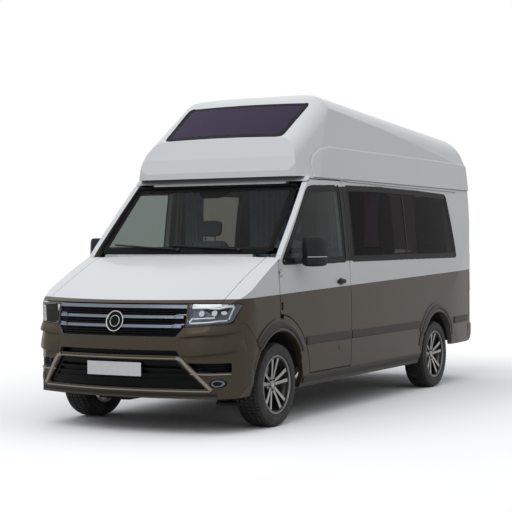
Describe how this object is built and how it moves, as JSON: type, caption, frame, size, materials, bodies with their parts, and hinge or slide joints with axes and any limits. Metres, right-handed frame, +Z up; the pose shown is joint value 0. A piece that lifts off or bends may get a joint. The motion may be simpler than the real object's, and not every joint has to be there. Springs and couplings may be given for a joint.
{
  "type": "high-roof camper van",
  "caption": "High-roof camper van with steered front wheels, opening cab doors, rear doors and bonnet, and a furnished living space.",
  "frame": {"origin": "on the ground under the middle of the van's length and width", "axes": "+X towards the van's left side, +Y towards its rear, +Z up"},
  "size_m": [2.426, 5.986, 2.9738],
  "materials": {
    "body_paint": "metallic brown below the waist, white above",
    "white_paint": "gloss white",
    "glass": "tinted",
    "clear_lens": "clear",
    "red_lens": "red",
    "black_plastic": "matt black",
    "grey_plastic": "matt grey",
    "bright_trim": "bright",
    "lamp_housing": "silver",
    "plate": "white",
    "chassis_black": "satin black",
    "bare_metal": "rough",
    "steel": "satin",
    "alloy": "bright",
    "tyre": "matt",
    "seat_fabric": "woven",
    "mattress": "woven",
    "furniture": "laminate"
  },
  "bodies": {
    "van_body": {"body_shell": "body_paint", "high_roof": "white_paint", "roof_window": "glass", "windscreen": "glass", "side_windows": "glass", "sliding_door": "body_paint", "cowl_panel": "black_plastic", "front_bumper": "body_paint", "front_grilles": "black_plastic", "grille_bars": "bright_trim", "headlights": "lamp_housing", "headlight_lenses": "clear_lens", "front_carrier": "chassis_black", "number_plates": "plate", "tail_lamps": "red_lens", "rear_bumper": "body_paint", "floor_pan": "chassis_black", "wheel_housings": "black_plastic", "front_axle": "chassis_black", "rear_axle": "chassis_black", "engine_block": "bare_metal", "fuel_tank": "chassis_black", "exhaust": "steel", "dashboard": "grey_plastic", "front_seats": "seat_fabric", "dinette_bench": "seat_fabric", "dinette_table": "furniture", "washroom": "furniture", "kitchen_unit": "furniture", "rear_bed": "mattress"},
    "hood": {"hood": "white_paint"},
    "cab_door_left": {"cab_door_left": "body_paint", "cab_door_glass_left": "glass", "mirror_left": "black_plastic"},
    "cab_door_right": {"cab_door_right": "body_paint", "cab_door_glass_right": "glass", "mirror_right": "black_plastic"},
    "rear_door_left": {"rear_door_left": "body_paint", "rear_door_glass_left": "glass"},
    "rear_door_right": {"rear_door_right": "body_paint", "rear_door_glass_right": "glass"},
    "knuckle_left": {"knuckle_left": "bare_metal"},
    "knuckle_right": {"knuckle_right": "bare_metal"},
    "steering_wheel": {"steering_wheel": "black_plastic"},
    "wheel_front_left": {"tyre_front_left": "tyre", "wheel_front_left": "alloy"},
    "wheel_front_right": {"tyre_front_right": "tyre", "wheel_front_right": "alloy"},
    "wheel_rear_left": {"tyre_rear_left": "tyre", "wheel_rear_left": "alloy"},
    "wheel_rear_right": {"tyre_rear_right": "tyre", "wheel_rear_right": "alloy"}
  },
  "joints": [
    {"name": "hood_hinge", "type": "hinge", "parent": "van_body", "child": "hood", "pos_m": [0, -1.947, 1.411], "axis": [-1, 0, 0], "range_deg": [0, 55]},
    {"name": "cab_door_left_hinge", "type": "hinge", "parent": "van_body", "child": "cab_door_left", "pos_m": [0.99, -1.951, 1], "axis": [0, 0, -1], "range_deg": [0, 70]},
    {"name": "cab_door_right_hinge", "type": "hinge", "parent": "van_body", "child": "cab_door_right", "pos_m": [-0.99, -1.951, 1], "axis": [0, 0, 1], "range_deg": [0, 70]},
    {"name": "rear_door_left_hinge", "type": "hinge", "parent": "van_body", "child": "rear_door_left", "pos_m": [0.862, 2.933, 1.3], "axis": [0, 0, -1], "range_deg": [0, 180]},
    {"name": "rear_door_right_hinge", "type": "hinge", "parent": "van_body", "child": "rear_door_right", "pos_m": [-0.862, 2.933, 1.3], "axis": [0, 0, 1], "range_deg": [0, 180]},
    {"name": "steer_left", "type": "hinge", "parent": "van_body", "child": "knuckle_left", "pos_m": [0.8, -1.993, 0.2], "axis": [-0.225, 0, 0.9744], "range_deg": [-35, 35]},
    {"name": "steer_right", "type": "hinge", "parent": "van_body", "child": "knuckle_right", "pos_m": [-0.8, -1.993, 0.2], "axis": [0.225, 0, 0.9744], "range_deg": [-35, 35]},
    {"name": "steering_column", "type": "hinge", "parent": "van_body", "child": "steering_wheel", "pos_m": [0.43, -1.373, 1.28], "axis": [0, 0.8829, 0.4695], "range_deg": [-540, 540]},
    {"name": "spin_front_left", "type": "hinge", "parent": "knuckle_left", "child": "wheel_front_left", "pos_m": [0.8705, -1.993, 0.353], "axis": [1, 0, 0], "continuous": true},
    {"name": "spin_front_right", "type": "hinge", "parent": "knuckle_right", "child": "wheel_front_right", "pos_m": [-0.8705, -1.993, 0.353], "axis": [1, 0, 0], "continuous": true},
    {"name": "spin_rear_left", "type": "hinge", "parent": "van_body", "child": "wheel_rear_left", "pos_m": [0.8705, 1.647, 0.353], "axis": [1, 0, 0], "continuous": true},
    {"name": "spin_rear_right", "type": "hinge", "parent": "van_body", "child": "wheel_rear_right", "pos_m": [-0.8705, 1.647, 0.353], "axis": [1, 0, 0], "continuous": true}
  ],
  "couplings": [
    {"joint": "steer_right", "follows": "steer_left", "ratio": 1},
    {"joint": "steering_column", "follows": "steer_left", "ratio": 15}
  ]
}
